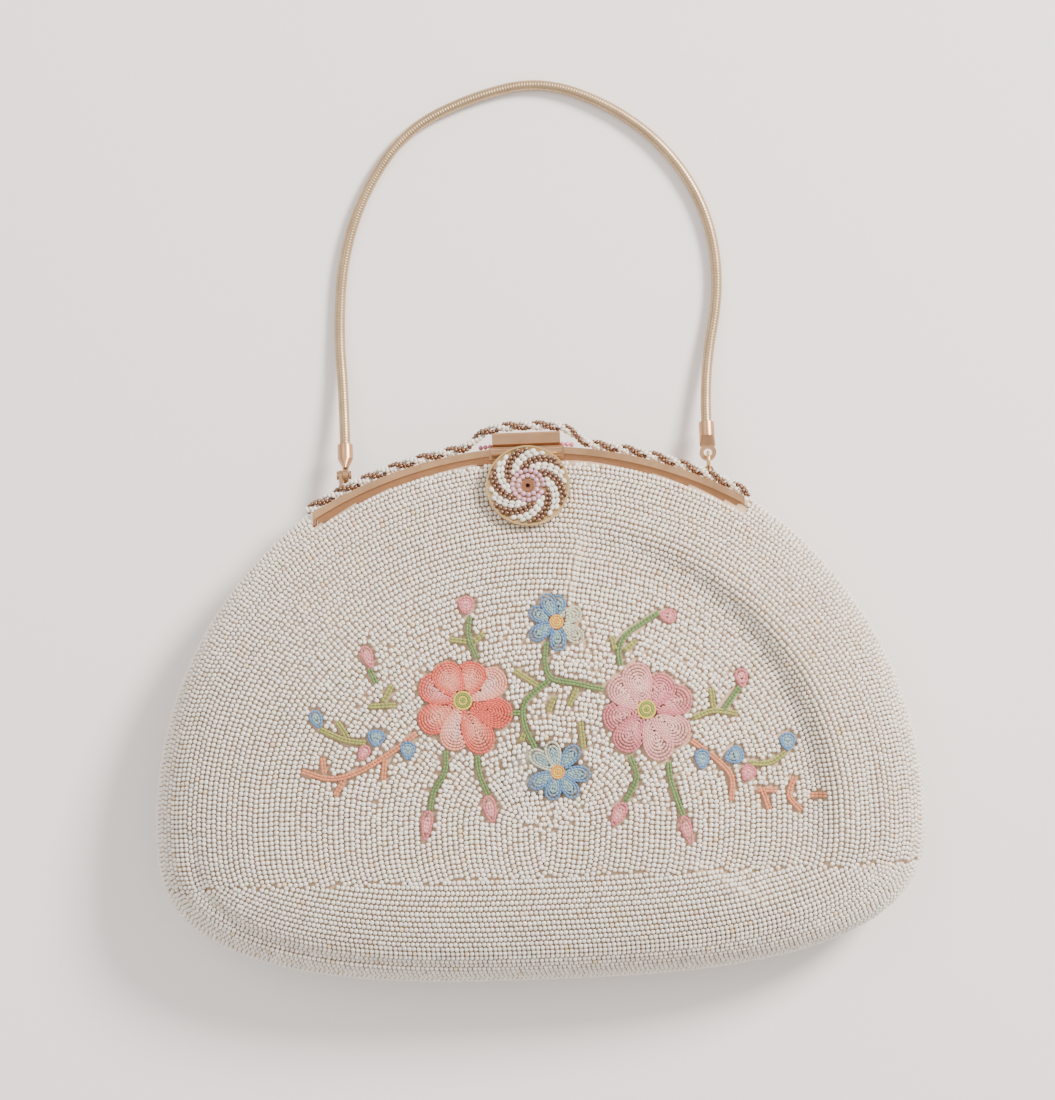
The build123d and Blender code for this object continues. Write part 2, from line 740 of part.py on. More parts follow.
olive_leaves = (
    ((-22.4, 17.2), (-16.8, 16.4)),
    ((-17.0, 15.8), (-13.2, 18.6)),
    ((-44.6, 0.3), (-37.6, 0.4)),
    ((-41.4, 0.4), (-38.2, 5.8)),
    ((-58.0, -5.4), (-51.5, -8.4), (-46.0, -9.4)),
    ((-53.2, -3.6), (-50.6, -8.0)),
    ((-5.4, 8.4), (1.4, 3.6)),
    ((3.2, -2.8), (5.0, 1.2)),
    ((-2.8, -6.4), (-4.4, -10.6)),
    ((8.8, -1.4), (11.0, 3.0)),
    ((12.2, -13.0), (11.7, -6.0)),
    ((41.8, -6.2), (47.4, -4.6), (53.9, -5.7)),
    ((47.4, -3.6), (47.0, 1.4)),
    ((56.0, -19.0), (62.0, -19.2), (66.6, -16.6)),
    ((20.8, 16.2), (21.6, 12.6)),
    ((24.2, 12.4), (27.4, 15.0)),
)
coral_twigs = (
    ((-32.4, -7.4), (-39.9, -12.6), (-49.1, -17.4), (-56.0, -18.6), (-63.2, -16.4)),
    ((-41.0, -14.0), (-41.6, -19.4)),
    ((-52.0, -18.6), (-54.6, -23.2)),
    ((-57.2, -18.2), (-57.6, -13.0)),
    ((41.0, -12.2), (47.6, -17.6), (51.4, -22.4), (51.2, -28.6)),
    ((59.6, -26.0), (61.4, -31.6)),
    ((58.4, -26.2), (63.6, -26.6)),
    ((68.6, -23.4), (67.0, -28.2), (70.0, -32.4)),
    ((73.0, -28.4), (77.6, -28.4)),
)

def spray(extra):
    """Every piece of stitching in plan by node name, each grown by an extra edge."""
    small = small_petal_half_width
    blue = petals(upper_blue_middle, small, upper_blue_tips, extra)
    blue += petals(lower_blue_middle, small, lower_blue_tips, extra)
    eyes = middles((coral_middle, pink_middle), flower_middle_radius, extra)
    eyes += middles((upper_blue_middle, lower_blue_middle), small_flower_middle_radius, extra)
    return {
        "flower_middles": eyes,
        "coral_flower": petals(coral_middle, petal_half_width, coral_tips, extra),
        "pink_flower": petals(pink_middle, petal_half_width, pink_tips, extra),
        "blue_flowers": blue,
        "pink_buds": buds(pink_buds, extra),
        "teal_buds": buds(teal_buds, extra),
        "green_stems": stitches(stem_width, green_stems, extra),
        "olive_leaves": stitches(stem_width, olive_leaves, extra),
        "coral_twigs": stitches(twig_width, coral_twigs, extra),
    }


# Where two pieces of stitching meet, the later one stops at the edge of the earlier one
taken = Sketch()
edges = spray(stitch_gap)
for name, drawings in spray(0).items():
    laid = []
    for drawing, edge in zip(drawings, edges[name]):
        laid += pads(drawing - taken if taken.faces() else drawing)
        taken += edge
    save(name, *[pad for pad in laid if pad.volume > smallest_pad])
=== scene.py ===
# %% [markdown]
# # A beaded evening handbag
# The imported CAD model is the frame: it says where everything is and what moves.
# This lesson dresses it with cloth, beads, stitching and metal, in metres, in the same frame.

# %%
from math import cos, pi, radians, sin

import bpy
import numpy as np
from mathutils import Matrix, Vector


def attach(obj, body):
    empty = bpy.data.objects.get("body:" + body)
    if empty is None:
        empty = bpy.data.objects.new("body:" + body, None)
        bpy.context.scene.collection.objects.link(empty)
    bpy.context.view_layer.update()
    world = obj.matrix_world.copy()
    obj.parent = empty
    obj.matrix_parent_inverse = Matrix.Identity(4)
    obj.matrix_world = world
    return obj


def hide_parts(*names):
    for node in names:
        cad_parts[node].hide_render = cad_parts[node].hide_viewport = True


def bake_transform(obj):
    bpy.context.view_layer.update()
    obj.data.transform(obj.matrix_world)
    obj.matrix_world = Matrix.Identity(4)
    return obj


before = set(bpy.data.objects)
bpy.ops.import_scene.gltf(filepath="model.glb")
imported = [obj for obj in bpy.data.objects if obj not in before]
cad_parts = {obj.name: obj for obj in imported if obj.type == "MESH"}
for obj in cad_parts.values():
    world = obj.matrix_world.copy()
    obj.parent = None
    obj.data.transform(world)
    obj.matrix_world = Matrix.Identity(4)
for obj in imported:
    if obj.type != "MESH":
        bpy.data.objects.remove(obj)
bpy.ops.object.select_all(action="DESELECT")
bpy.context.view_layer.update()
chance = np.random.default_rng(7)
mm = 0.001

# %% [markdown]
# ## Shader sums
# A small wrapper lets sockets be added and multiplied like numbers.


# %%
class Value:
    """One output socket of a node tree, with arithmetic."""

    def __init__(self, tree, socket):
        self.tree, self.socket = tree, socket

    def _math(self, operation, other):
        node = self.tree.nodes.new("ShaderNodeMath")
        node.operation = operation
        self.tree.links.new(self.socket, node.inputs[0])
        if isinstance(other, Value):
            self.tree.links.new(other.socket, node.inputs[1])
        else:
            node.inputs[1].default_value = other
        return Value(self.tree, node.outputs[0])

    def __add__(self, other):
        return self._math("ADD", other)

    def __mul__(self, other):
        return self._math("MULTIPLY", other)

    def __gt__(self, other):
        return self._math("GREATER_THAN", other)


class Look:
    """A material under construction."""

    def __init__(self, name):
        self.material = bpy.data.materials.new(name)
        self.material.use_nodes = True
        self.tree = self.material.node_tree
        self.shader = self.tree.nodes["Principled BSDF"]
        self.place = self.tree.nodes.new("ShaderNodeTexCoord").outputs["Object"]

    def noise(self, scale, detail=3.0):
        node = self.tree.nodes.new("ShaderNodeTexNoise")
        node.inputs["Scale"].default_value = scale
        node.inputs["Detail"].default_value = detail
        self.tree.links.new(self.place, node.inputs["Vector"])
        return Value(self.tree, node.outputs["Fac"])

    def attribute(self, name):
        node = self.tree.nodes.new("ShaderNodeAttribute")
        node.attribute_name = name
        return node.outputs["Color"]

    def distance(self, x, y):
        """Distance in plan of a point on the surface from a place."""
        take = self.tree.nodes.new("ShaderNodeVectorMath")
        take.operation = "MULTIPLY_ADD"
        self.tree.links.new(self.place, take.inputs[0])
        take.inputs[1].default_value = (1, 1, 0)
        take.inputs[2].default_value = (-x, -y, 0)
        size = self.tree.nodes.new("ShaderNodeVectorMath")
        size.operation = "LENGTH"
        self.tree.links.new(take.outputs[0], size.inputs[0])
        return Value(self.tree, size.outputs["Value"])

    def mix(self, share, first, second, kind="MIX"):
        node = self.tree.nodes.new("ShaderNodeMix")
        node.data_type = "RGBA"
        node.blend_type = kind
        if isinstance(share, Value):
            self.tree.links.new(share.socket, node.inputs[0])
        else:
            node.inputs[0].default_value = share
        for place, colour in ((6, first), (7, second)):
            if isinstance(colour, tuple):
                node.inputs[place].default_value = (*colour, 1)
            else:
                self.tree.links.new(colour, node.inputs[place])
        return node.outputs[2]

    def finish(self, colour, roughness, bump=None, depth=0.0001, **constants):
        self.tree.links.new(colour, self.shader.inputs["Base Color"])
        self.tree.links.new(roughness.socket, self.shader.inputs["Roughness"])
        if bump is not None:
            node = self.tree.nodes.new("ShaderNodeBump")
            node.inputs["Strength"].default_value = 0.5
            node.inputs["Distance"].default_value = depth
            self.tree.links.new(bump.socket, node.inputs["Height"])
            self.tree.links.new(node.outputs[0], self.shader.inputs["Normal"])
        for key, value in constants.items():
            self.shader.inputs[key.replace("_", " ")].default_value = value
        return self.material


def bead_look(name, coat, metallic=0.0):
    """Glass beads: each has its own tint, with a faint cloud over the whole bag."""
    look = Look(name)
    cloud = look.mix(look.noise(28) * 0.32, look.attribute("tint"), (0.86, 0.74, 0.64), "MULTIPLY")
    gloss = look.noise(900) * 0.2 + 0.2
    return look.finish(cloud, gloss, Metallic=metallic, Coat_Weight=coat, Coat_Roughness=0.12)


def thread_look(name):
    """Silk thread: the tint of each stitch, broken by fine strands."""
    look = Look(name)
    strands = look.noise(2600, 2)
    shade = look.mix(strands * 0.5, look.attribute("tint"), (0.45, 0.40, 0.36), "MULTIPLY")
    return look.finish(shade, look.noise(700) * 0.2 + 0.5, strands, 0.00012, Sheen_Weight=0.2)


def metal_look(name, bright, worn, shine=0.22):
    """Gilt metal, rubbed and tarnished in patches."""
    look = Look(name)
    patches = look.mix(look.noise(160, 6), bright, worn)
    scratches = look.noise(2200, 4)
    return look.finish(patches, look.noise(320) * 0.25 + shine, scratches, 0.00003, Metallic=1.0)


def frame_look():
    """The frame's lip is painted lighter than the recessed band below it: painted light on the lip and painted
    shade in the recess.
    """
    look = Look("gilt_frame")
    # Painted light and shade: the lip is coloured lighter and the recessed band darker, as light and shade
    # would make them.
    lit_lip_mask = look.distance(0, -49.3 * mm) > 116.2 * mm
    base = look.mix(lit_lip_mask, (0.50, 0.24, 0.11), (0.72, 0.44, 0.23))
    tarnish = look.mix(look.noise(140, 6) * 0.8, base, (0.30, 0.15, 0.08))
    return look.finish(tarnish, look.noise(400) * 0.25 + 0.24, look.noise(2000), 0.00003, Metallic=1.0)


def cloth_look(name, colour, dark):
    """Plain woven ground cloth."""
    look = Look(name)
    weave = look.noise(3000, 2)
    return look.finish(look.mix(weave, colour, dark), look.noise(500) * 0.15 + 0.75, weave, 0.0001)


looks = {
    "white": bead_look("white_glass", 0.5),
    "bronze": bead_look("bronze_glass", 0.7, 0.55),
    "pink": bead_look("pink_glass", 0.8),
    "thread": thread_look("silk_thread"),
    "gilt": metal_look("gilt", (0.66, 0.40, 0.22), (0.34, 0.18, 0.10)),
    "frame": frame_look(),
    "chain": metal_look("chain_gilt", (0.62, 0.45, 0.27), (0.36, 0.25, 0.15), 0.28),
    "bright": metal_look("bright_gilt", (0.86, 0.62, 0.30), (0.55, 0.35, 0.16), 0.18),
    "copper": metal_look("copper", (0.52, 0.22, 0.12), (0.20, 0.09, 0.06)),
    "ground": cloth_look("ground_cloth", (0.62, 0.45, 0.31), (0.48, 0.33, 0.21)),
    "lining": cloth_look("lining_cloth", (0.72, 0.67, 0.58), (0.58, 0.52, 0.44)),
}

# %% [markdown]
# ## The cloth's form
# The same named shape as the solid: an outline, a full front with a long fold on the
# right, and a back that rests flat. Small dents are added where the cloth is pressed in.

# %%
half_width, widest_y, rise, drop, seam = 104.5, -34.0, 105.0, 42.2, 14.0
corner_squareness, front_depth = 2.8, 20.0
crest_share, crest_shift, floor_share = 0.12, 14.0, 0.62
fold_depth, fold_angle, fold_half_sweep, fold_share = 6.0, 28, 52, 0.69
fold_outer_width, fold_inner_width = 0.10, 0.45
arch_y, frame_outer, frame_inner, half_sweep = -49.3, 118.0, 114.1, 30.0
bottom_band_y = -49.0


def reach(angle):
    """Distance from the middle to the outline."""
    low = np.sin(angle) < 0
    power = np.where(low, corner_squareness, 2.0)
    tall = np.where(low, drop, rise)
    across = np.abs(np.cos(angle) / half_width) ** power
    return (across + np.abs(np.sin(angle) / tall) ** power) ** (-1 / power)


def share_and_angle(x, y):
    """How far out a place in plan lies, and in which direction."""
    share = np.full_like(x, 0.5)
    for _ in range(25):
        middle = widest_y + (1 - share) * crest_shift
        angle = np.arctan2(y - middle, x)
        share = np.clip(np.hypot(x, y - middle) / reach(angle), 0, 1)
    return share, angle


def dent(x, y, at_x, at_y, wide, tall, depth):
    """A smooth hollow of a width and height round a place."""
    return depth * np.exp(-(((x - at_x) / wide) ** 2 + ((y - at_y) / tall) ** 2))


def front_z(x, y):
    """Height of the front above a place in plan."""
    share, angle = share_and_angle(x, y)
    out = np.clip((share - crest_share) / (1 - crest_share), 0, 1)
    mouth = np.clip(np.sin(angle), 0, 1) ** 3
    full = np.sqrt(1 - out ** 4)
    swell = full + (1 - out ** 2.5 - full) * mouth
    turn = np.degrees((angle + pi) % (2 * pi) - pi)
    along = np.clip((turn - fold_angle) / fold_half_sweep, -1, 1)
    width = np.where(share > fold_share, fold_outer_width, fold_inner_width)
    across = np.clip((share - fold_share) / width, -1, 1)
    fold = fold_depth * np.sqrt(np.clip(np.cos(along * pi / 2), 0, 1)) * np.cos(across * pi / 2) ** 2
    small = dent(x, y, 34.3, 48.7, 7, 4, 0.9) + dent(x, y, 61.1, 39.5, 4, 7, 0.8)
    small += dent(x, y, 88.5, -26.9, 2.5, 9, 1.4)
    crease = dent(share, turn, 0.9, -152, 0.022, 34, 1.5)
    small += dent(x, y, 58, -48, 14, 4, 0.7) + crease
    return seam + front_depth * swell - fold - small * (1 - out ** 6)


def back_z(x, y):
    """Height of the back below a place in plan."""
    share, angle = share_and_angle(x, y)
    out = np.clip((share - floor_share) / (1 - floor_share), 0, 1)
    mouth = np.clip(np.sin(angle), 0, 1) ** 3
    full = np.sqrt(1 - out ** 2)
    return seam - seam * (full + (1 - out ** 1.25 - full) * mouth)


def in_frame(x, y, margin):
    """Where the frame takes the cloth's place."""
    radius = np.hypot(x, y - arch_y)
    sweep = np.abs(np.degrees(np.arctan2(x, y - arch_y)))
    return (radius > frame_inner - margin) & (sweep < half_sweep + 1)


def normals_at(height, x, y, side):
    """Outward direction of the cloth at places in plan."""
    step = 0.4
    slope_x = (height(x + step, y) - height(x - step, y)) / (2 * step)
    slope_y = (height(x, y + step) - height(x, y - step)) / (2 * step)
    normal = np.stack([-slope_x, -slope_y, np.ones_like(x)], -1) * side
    return normal / np.linalg.norm(normal, axis=-1, keepdims=True)


# %% [markdown]
# ## Pieces
# One bead is modelled once and repeated. Each copy has a place, a direction and a size.

# %%
def modelled(segments, rings):
    """A smooth round bead, taken off a primitive as points and triangles."""
    bpy.ops.mesh.primitive_uv_sphere_add(segments=segments, ring_count=rings, radius=0.5)
    made = bpy.context.object
    bpy.ops.object.mode_set(mode="EDIT")
    bpy.ops.mesh.select_all(action="SELECT")
    bpy.ops.mesh.quads_convert_to_tris()
    bpy.ops.object.mode_set(mode="OBJECT")
    points = np.array([v.co for v in made.data.vertices])
    faces = np.array([list(f.vertices) for f in made.data.polygons])
    bpy.data.objects.remove(made)
    return points, faces


small_bead = modelled(8, 3)
round_bead = modelled(10, 6)


def mesh_piece(name, points, faces, body, look, tints=None):
    """A mesh from arrays in millimetres, riding on a body."""
    mesh = bpy.data.meshes.new(name)
    mesh.from_pydata((points * mm).tolist(), [], faces.tolist())
    mesh.polygons.foreach_set("use_smooth", np.full(len(faces), True))
    if tints is not None:
        layer = mesh.attributes.new("tint", "FLOAT_COLOR", "POINT")
        layer.data.foreach_set("color", np.c_[tints, np.ones(len(tints))].ravel())
    mesh.materials.append(look)
    piece = bpy.data.objects.new(name, mesh)
    bpy.context.collection.objects.link(piece)
    if body:
        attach(piece, body)
    return piece


def repeated(name, bead, centres, along, normal, sizes, colours, body, look):
    """Copies of a bead: sizes are across, high and along, in millimetres."""
    along = along - normal * (along * normal).sum(-1, keepdims=True)
    along /= np.linalg.norm(along, axis=-1, keepdims=True)
    across = np.cross(normal, along)
    turn = np.stack([across, normal, along], 1)
    sizes = np.broadcast_to(sizes, centres.shape)
    points = np.einsum("nvk,nkj->nvj", bead[0][None] * sizes[:, None], turn) + centres[:, None]
    faces = bead[1][None] + (np.arange(len(centres)) * len(bead[0]))[:, None, None]
    tints = np.repeat(colours, len(bead[0]), 0)
    return mesh_piece(name, points.reshape(-1, 3), faces.reshape(-1, 3), body, look, tints)


def along_line(at, walked, line, reach_out):
    """Places on a line at distances along it, and the line's direction there."""
    here, ahead, behind = (np.stack([np.interp(at + shift, walked, line[:, k]) for k in (0, 1, 2)], 1)
                           for shift in (0, reach_out, -reach_out))
    return here, ahead - behind


class Room:
    """Keeps things a least distance apart."""

    def __init__(self, cell=1.5):
        self.cell, self.cells = cell, {}

    def add(self, point, distance):
        """Adds a point if nothing is nearer than the distance, and says whether it did."""
        key = tuple(int(v // self.cell) for v in point)
        for dx in (-1, 0, 1):
            for dy in (-1, 0, 1):
                for dz in (-1, 0, 1):
                    for other in self.cells.get((key[0] + dx, key[1] + dy, key[2] + dz), ()):
                        gap = [mine - its for mine, its in zip(point, other)]
                        if gap[0] ** 2 + gap[1] ** 2 + gap[2] ** 2 < distance ** 2:
                            return False
        self.cells.setdefault(key, []).append(tuple(point))
        return True


# %% [markdown]
# ## Stitching
# Chain stitch in loops that follow each petal, and double rows along stems and twigs.

# %%
stitch_high, stitch_long, stitch_seat = 0.7, 1.35, 0.75
few_stitches = 300
stitches = {}
stitch_room = Room()


def stitch_line(node, points, colour, closed=False, spacing=0.95, width=0.8, apart=0.5):
    """Chain stitches along a line in plan."""
    points = np.array(points, float)
    if closed:
        points = np.vstack([points, points[:1]])
    steps = np.r_[0, np.cumsum(np.linalg.norm(np.diff(points, axis=0), axis=1))]
    if steps[-1] < spacing:
        return
    at = np.linspace(0, steps[-1], max(2, int(steps[-1] / spacing) + 1))[:-1] + spacing / 2
    x, y = (np.interp(at, steps, points[:, k]) for k in (0, 1))
    ahead_x, ahead_y = (np.interp(at + 0.2, steps, points[:, k]) for k in (0, 1))
    behind_x, behind_y = (np.interp(at - 0.2, steps, points[:, k]) for k in (0, 1))
    for here in zip(x, y, ahead_x - behind_x, ahead_y - behind_y):
        if stitch_room.add((here[0], here[1], 0), apart):
            shade = np.clip(np.array(colour) * chance.uniform(0.86, 1.12), 0, 1)
            stitches.setdefault(node, []).append((*here, width, *shade))


def smooth_line(points, count=24):
    """A rounded line through a few points."""
    points = np.array(points, float)
    if len(points) < 3:
        return points
    ends = np.vstack([2 * points[0] - points[1], points, 2 * points[-1] - points[-2]])
    line = []
    for before, start, end, after in zip(ends, ends[1:], ends[2:], ends[3:]):
        for t in np.linspace(0, 1, count, endpoint=False):
            bend = (2 * before - 5 * start + 4 * end - after) * t ** 2
            twist = (3 * start - before - 3 * end + after) * t ** 3
            line.append(0.5 * (2 * start + (end - before) * t + bend + twist))
    return np.array(line + [points[-1]])


def petal(node, middle, angle, length, half, colours):
    """Loops from the petal's edge inwards, the colours passing from edge to heart."""
    turn = radians(angle)
    loops = max(2, round(half / 0.6))
    for loop in range(loops):
        share = 0.9 - loop * 0.86 / loops
        around = np.linspace(0, 2 * pi, 60, endpoint=False)
        u = length * 0.53 + length * 0.47 * share * np.cos(around)
        v = half * share * np.sin(around) * (1 + 0.36 * np.cos(around))
        line = np.c_[middle[0] + u * cos(turn) - v * sin(turn), middle[1] + u * sin(turn) + v * cos(turn)]
        edge, core_colour = np.array(colours[0]), np.array(colours[1])
        mixed = edge + (core_colour - edge) * loop / max(1, loops - 1)
        stitch_line(node, line, mixed, closed=True, apart=0.46)
    heart = [(middle[0] + u * cos(turn), middle[1] + u * sin(turn)) for u in (length * 0.3, length * 0.78)]
    stitch_line(node, heart, colours[1], apart=0.42)


def middle_rings(middle, radius, colours):
    """Rings of stitches in a flower's middle."""
    for ring, size in enumerate(np.arange(0.35, radius, 0.65)):
        around = np.linspace(0, 2 * pi, 24, endpoint=False)
        circle = np.c_[middle[0] + size * np.cos(around), middle[1] + size * np.sin(around)]
        stitch_line("flower_middles", circle,
                    colours[ring % 2], closed=True, spacing=0.7, width=0.7, apart=0.42)


coral, pink = (-19.6, 0.9), (29.3, -3.4)
upper_blue, lower_blue = (6.2, 20.9), (5.0, -19.1)
yellow, eye_green, orange = (0.72, 0.50, 0.06), (0.20, 0.30, 0.05), (0.78, 0.32, 0.04)
red, salmon = (0.72, 0.10, 0.06), (0.86, 0.33, 0.23)
rose, dusty, blush = (0.62, 0.16, 0.19), (0.76, 0.32, 0.31), (0.86, 0.50, 0.44)
coral_shades = {
    121: (red, salmon), 155: (red, dusty), 68: (red, salmon), 30: (salmon, blush),
    -22: (red, red), -68: (red, salmon), -105: (salmon, blush), -150: (red, salmon),
}
blue, grey_teal, cream = (0.10, 0.22, 0.42), (0.26, 0.40, 0.42), (0.56, 0.56, 0.42)

middle_rings(coral, 2.4, (eye_green, yellow))
middle_rings(pink, 2.4, (eye_green, yellow))
middle_rings(upper_blue, 1.9, (orange, yellow))
middle_rings(lower_blue, 1.9, (orange, yellow))
coral_tips = (
    (121, 11.8), (155, 12.7), (68, 11.0), (30, 13.5), (-22, 14.3), (-68, 15.6), (-105, 13.9), (-150, 13.7),
)
pink_tips = (
    (105, 13.1), (139, 12.6), (53, 10.9), (14, 13.0), (-38, 14.0), (-73, 14.6), (-126, 13.2), (-168, 12.1),
)
for angle, length in coral_tips:
    petal("coral_flower", coral, angle, length, 4.0, coral_shades[angle])
for angle, length in pink_tips:
    darker = angle in (14, 53, -126, -168)
    petal("pink_flower", pink, angle, length, 3.9, (rose, dusty) if darker else (dusty, blush))
for angle, length in ((111, 8.2), (155, 7.9), (-150, 8.3), (-88, 7.9), (-38, 8.8), (22, 7.2), (83, 7.2)):
    pale = -60 < angle < 60
    petal("blue_flowers", upper_blue, angle, length, 2.0, (cream, cream) if pale else (blue, grey_teal))
for angle, length in ((101, 8.6), (50, 8.9), (-7, 9.0), (-55, 8.5), (-106, 7.8), (-156, 8.5), (141, 9.5)):
    pale = angle > 60
    petal("blue_flowers", lower_blue, angle, length, 2.0, (cream if pale else blue, grey_teal))

pink_buds = (
    (-17.8, 26.2, 90, 5.0, 3.8), (-44.6, 13.4, 108, 6.4, 2.6), (-46.6, -12.0, 60, 4.4, 2.6),
    (-30.5, -32.0, 80, 8.6, 2.6), (-13.4, -28.4, 100, 8.0, 3.0), (36.2, 21.2, -10, 4.6, 3.4),
    (55.4, 3.8, 95, 5.2, 3.0), (20.8, -31.0, 60, 7.4, 3.2), (38.9, -36.0, 105, 8.4, 2.6),
    (56.0, -21.6, 60, 4.6, 3.6),
)
teal_buds = (
    (-58.9, -2.7, 110, 5.2, 3.0), (-43.1, -8.2, 80, 4.6, 4.4), (-34.8, -11.8, 90, 5.2, 3.6),
    (43.7, -17.3, 90, 5.6, 3.6), (52.4, -16.8, 20, 5.6, 4.4), (67.2, -13.8, 90, 5.0, 4.0),
)
bud_sets = (("pink_buds", pink_buds, (rose, dusty)), ("teal_buds", teal_buds, (blue, grey_teal)))
for node, places, colours in bud_sets:
    for x, y, angle, length, width in places:
        turn = radians(angle)
        heel = (x - cos(turn) * length * 0.53, y - sin(turn) * length * 0.53)
        petal(node, heel, angle, length, width / 2, colours)

green_stems = (
    ((-17.0, 23.0), (-17.4, 18.0), (-15.4, 12.0)),
    ((3.3, 15.6), (2.8, 10.0), (4.4, 6.0), (10.8, 4.3), (18.0, 2.4)),
    ((4.4, 6.0), (-2.7, 0.2), (-3.4, -5.9), (-0.8, -12.4)),
    ((-8.4, -2.9), (-3.3, -2.9)),
    ((-24.6, -12.4), (-25.2, -18.0), (-28.2, -23.0), (-29.4, -28.0)),
    ((-16.4, -14.0), (-15.8, -19.0), (-13.8, -24.4)),
    ((22.8, 8.6), (22.7, 13.0), (25.4, 17.2), (33.8, 22.2)),
    ((24.5, -15.6), (26.0, -21.4), (22.8, -27.6)),
    ((34.6, -17.6), (35.2, -23.0), (38.0, -32.0)),
    ((50.0, -4.6), (54.8, 1.4)),
    ((-44.2, 10.2), (-42.6, 6.4)),
)
olive_leaves = (
    ((-22.4, 17.2), (-16.8, 16.4)),
    ((-17.0, 15.8), (-13.2, 18.6)),
    ((-44.6, 0.3), (-37.6, 0.4)),
    ((-41.4, 0.4), (-38.2, 5.8)),
    ((-58.0, -5.4), (-51.5, -8.4), (-46.0, -9.4)),
    ((-53.2, -3.6), (-50.6, -8.0)),
    ((-5.4, 8.4), (1.4, 3.6)),
    ((3.2, -2.8), (5.0, 1.2)),
    ((-2.8, -6.4), (-4.4, -10.6)),
    ((8.8, -1.4), (11.0, 3.0)),
    ((12.2, -13.0), (11.7, -6.0)),
    ((41.8, -6.2), (47.4, -4.6), (53.9, -5.7)),
    ((47.4, -3.6), (47.0, 1.4)),
    ((56.0, -19.0), (62.0, -19.2), (66.6, -16.6)),
    ((20.8, 16.2), (21.6, 12.6)),
    ((24.2, 12.4), (27.4, 15.0)),
)
coral_twigs = (
    ((-32.4, -7.4), (-39.9, -12.6), (-49.1, -17.4), (-56.0, -18.6), (-63.2, -16.4)),
    ((-41.0, -14.0), (-41.6, -19.4)),
    ((-52.0, -18.6), (-54.6, -23.2)),
    ((-57.2, -18.2), (-57.6, -13.0)),
    ((41.0, -12.2), (47.6, -17.6), (51.4, -22.4), (51.2, -28.6)),
    ((59.6, -26.0), (61.4, -31.6)),
    ((58.4, -26.2), (63.6, -26.6)),
    ((68.6, -23.4), (67.0, -28.2), (70.0, -32.4)),
    ((73.0, -28.4), (77.6, -28.4)),
)
line_sets = (
    ("green_stems", green_stems, (0.13, 0.23, 0.06)),
    ("olive_leaves", olive_leaves, (0.32, 0.32, 0.07)),
    ("coral_twigs", coral_twigs, (0.68, 0.24, 0.11)),
)
for node, lines, colour in line_sets:
    for points in lines:
        line = smooth_line(points)
        side = np.gradient(line, axis=0)[:, ::-1] * (-1, 1)
        side /= np.linalg.norm(side, axis=1, keepdims=True)
        for shift in (-0.36, 0.36):
            stitch_line(node, line + side * shift, colour)

for node, rows in stitches.items():
    rows = np.array(rows)
    x, y = rows[:, 0], rows[:, 1]
    normal = normals_at(front_z, x, y, 1)
    centres = np.c_[x, y, front_z(x, y)] + normal * stitch_seat
    slope = (normal[:, 0] * rows[:, 2] + normal[:, 1] * rows[:, 3]) / -normal[:, 2]
    sizes = np.c_[rows[:, 4], np.full(len(rows), stitch_high), np.full(len(rows), stitch_long)]
    stitch = round_bead if len(rows) < few_stitches else small_bead
    piece = repeated(f"stitched_{node}", stitch, centres, np.c_[rows[:, 2:4], slope], normal, sizes,
                     rows[:, 5:8], "back_half", looks["thread"])
    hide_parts(node)

# %% [markdown]
# ## Beads on the cloth
# Rows follow the outline at the sides and over the top, and lie level along the bottom.
# They are a bead apart measured on the cloth itself, so the steep sides are covered too.

# %%
row_pitch, bead_pitch = 1.45, 1.28
bead_across, bead_high, bead_long, bead_seat = 1.52, 1.25, 1.36, 0.35
blend_from, middle_half = 28.0, 30
nearest_bead, nearest_filler, nearest_frame = 1.02, 1.08, 0.6


def meridians():
    """Lines in plan from the rim inwards: level at the sides and a fan above."""
    starts, ends = [], []
    for y in np.arange(bottom_band_y, widest_y, 1.0):
        starts.append((-1, y))
        ends.append((0.0, y))
    for angle in np.linspace(pi, 0, 260):
        starts.append((2, angle))
        ends.append((0.0, widest_y))
    for y in np.arange(widest_y, bottom_band_y, -1.0):
        starts.append((1, y))
        ends.append((0.0, y))
    return starts, ends


def rim_point(kind, value):
    """Point of the outline: over the top at an angle, or at a side at a level."""
    if kind == 2:
        return half_width * cos(value), widest_y + rise * sin(value)
    inside = 1 - (abs(value - widest_y) / drop) ** corner_squareness
    return kind * half_width * inside ** (1 / corner_squareness), value


def bead_rows(height, side):
    """Places and directions of the beads on one side of the bag: upright lines
    carry the bottom band's rows, the meridians those above it."""
    inwards = np.linspace(0, 1, 260) ** 2
    upper = []
    for (kind, value), end in zip(*meridians()):
        rim = rim_point(kind, value)
        upper.append([(rim[0] + (end[0] - rim[0]) * t, rim[1] + (end[1] - rim[1]) * t) for t in inwards])
    lower = []
    for x in np.linspace(-102, 102, 300):
        inside = 1 - (abs(x) / half_width) ** corner_squareness
        rim_y = widest_y - drop * inside ** (1 / corner_squareness)
        lower.append([(x, rim_y + (bottom_band_y + row_pitch - rim_y) * t) for t in inwards])
    for chart in (np.array(lower), np.array(upper)):
        x, y = chart[..., 0], chart[..., 1]
        points = np.dstack([x, y, height(x, y)])
        gone = np.c_[np.zeros(len(points)), np.cumsum(np.linalg.norm(np.diff(points, axis=1), axis=2), 1)]
        for distance in np.arange(0.5, gone[:, -1].max(), row_pitch):
            line = [[np.interp(distance, gone[k], points[k, :, axis]) for axis in (0, 1, 2)]
                    for k in range(len(points)) if gone[k, -1] > distance]
            if len(line) < 3:
                continue
            line = np.array(line)
            walked = np.r_[0, np.cumsum(np.linalg.norm(np.diff(line, axis=0), axis=1))]
            at = np.arange(chance.uniform(0, bead_pitch), walked[-1], bead_pitch)
            yield from zip(*along_line(at, walked, line, 0.3))


